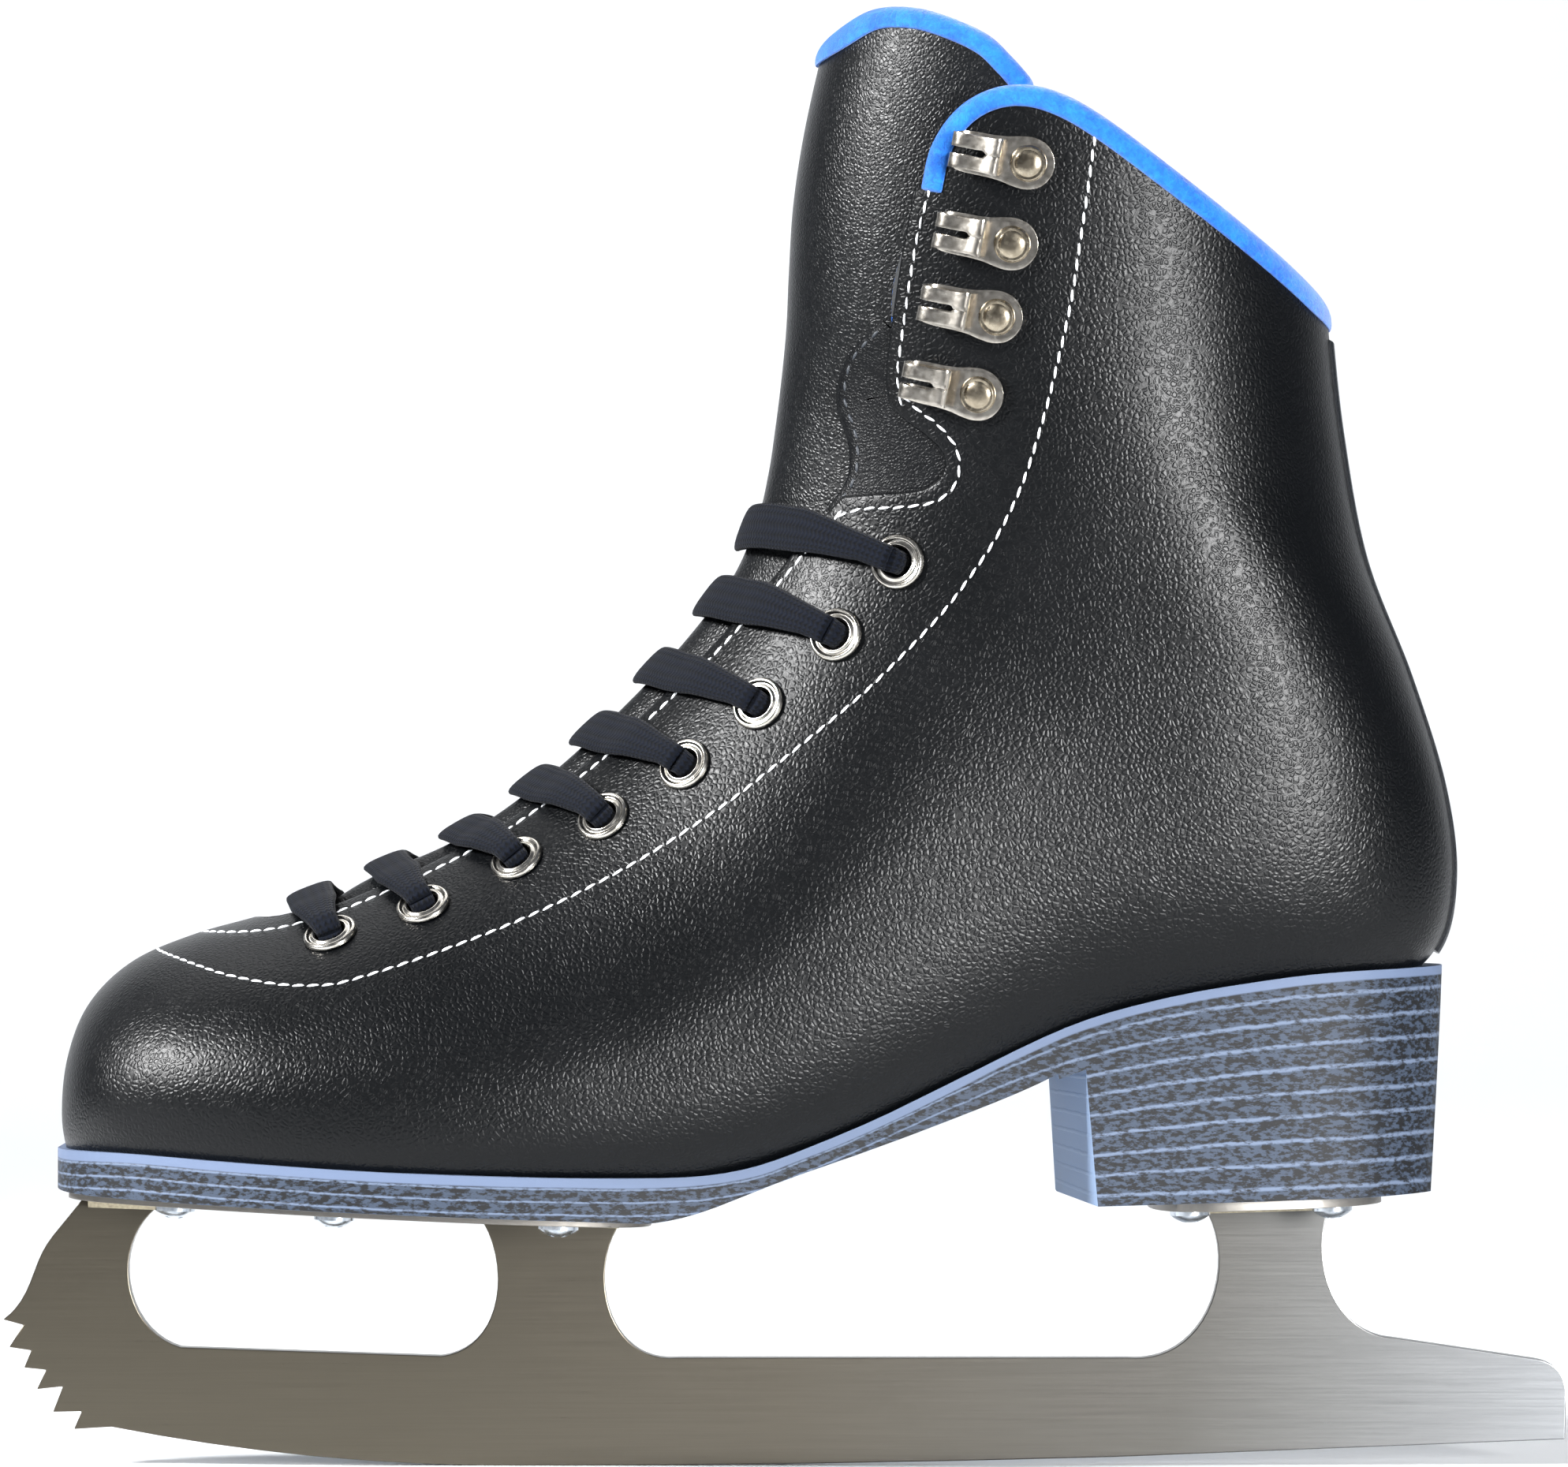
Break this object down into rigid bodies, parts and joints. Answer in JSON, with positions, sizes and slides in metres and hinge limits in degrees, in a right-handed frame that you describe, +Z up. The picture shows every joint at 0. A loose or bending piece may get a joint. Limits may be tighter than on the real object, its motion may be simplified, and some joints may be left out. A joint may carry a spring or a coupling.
{
  "type": "figure skate",
  "caption": "Lace-up figure skate with a high padded leather boot, moulded heeled sole and a toe-picked steel blade held by stanchions.",
  "frame": {"origin": "on the ice plane, in the blade's own mid-plane, halfway along the blade", "axes": "+Z up, -X towards the toe, -Y to the outer side of the left foot that the boot fits"},
  "size_m": [0.2822, 0.0916, 0.2619],
  "materials": {
    "blade_steel": "satin ground stainless steel",
    "plate_steel": "satin pressed steel",
    "brazing": "dull brazed fillet",
    "screw_steel": "bright zinc plated",
    "sole_moulding": "moulded and printed, with fine bands",
    "shank_steel": "blued spring steel",
    "insole_fibreboard": "pressed fibreboard",
    "footbed_fabric": "felt over foam",
    "black_leather": "fine pebble grain, semi-gloss",
    "stiffener_board": "thermoplastic stiffener sheet",
    "reinforcement_board": "bonded leather board",
    "gusset_leather": "thin soft leather",
    "collar_foam": "open-cell foam",
    "vamp_canvas": "woven cotton canvas",
    "blue_felt": "short brushed felt",
    "tongue_foam": "closed-cell foam",
    "eyelet_nickel": "polished nickel plate",
    "hook_nickel": "brushed nickel plate",
    "rivet_nickel": "nickel plate, slightly warm",
    "lace_weave": "flat tubular weave",
    "aglet_metal": "crimped metal"
  },
  "bodies": {
    "boot": {"blade_runner": "blade_steel", "toe_mounting_plate": "plate_steel", "heel_mounting_plate": "plate_steel", "stanchion_brazing": "brazing", "toe_plate_screws": "screw_steel", "heel_plate_screws": "screw_steel", "unit_sole": "sole_moulding", "waist_shank": "shank_steel", "insole_board": "insole_fibreboard", "footbed": "footbed_fabric", "upper_leather": "black_leather", "toe_puff": "stiffener_board", "heel_counter": "stiffener_board", "flex_notch_gussets": "gusset_leather", "facing_reinforcement": "reinforcement_board", "ankle_foam": "collar_foam", "vamp_lining": "vamp_canvas", "quarter_lining": "blue_felt", "collar_binding": "blue_felt", "backstay": "black_leather", "tongue_leather_lower": "black_leather", "tongue_foam_lower": "tongue_foam", "tongue_lining_lower": "blue_felt", "eyelets_outer": "eyelet_nickel", "eyelets_inner": "eyelet_nickel", "eyelet_washers_outer": "eyelet_nickel", "eyelet_washers_inner": "eyelet_nickel", "lace_hooks_outer": "hook_nickel", "lace_hooks_inner": "hook_nickel", "hook_rivets_outer": "rivet_nickel", "hook_rivets_inner": "rivet_nickel", "lace_bars": "lace_weave", "lace_tucks": "lace_weave", "lace_climbs_outer": "lace_weave", "lace_climbs_inner": "lace_weave", "lace_tails": "lace_weave", "aglets": "aglet_metal"},
    "tongue": {"tongue_leather_upper": "black_leather", "tongue_foam_upper": "tongue_foam", "tongue_lining_upper": "blue_felt", "tongue_binding": "blue_felt"}
  },
  "joints": [
    {"name": "tongue_flex", "type": "hinge", "parent": "boot", "child": "tongue", "pos_m": [-0.004, 0, 0.1775], "axis": [0, -1, 0], "range_deg": [-5, 28], "stiffness_Nm_per_rad": 0.2}
  ]
}
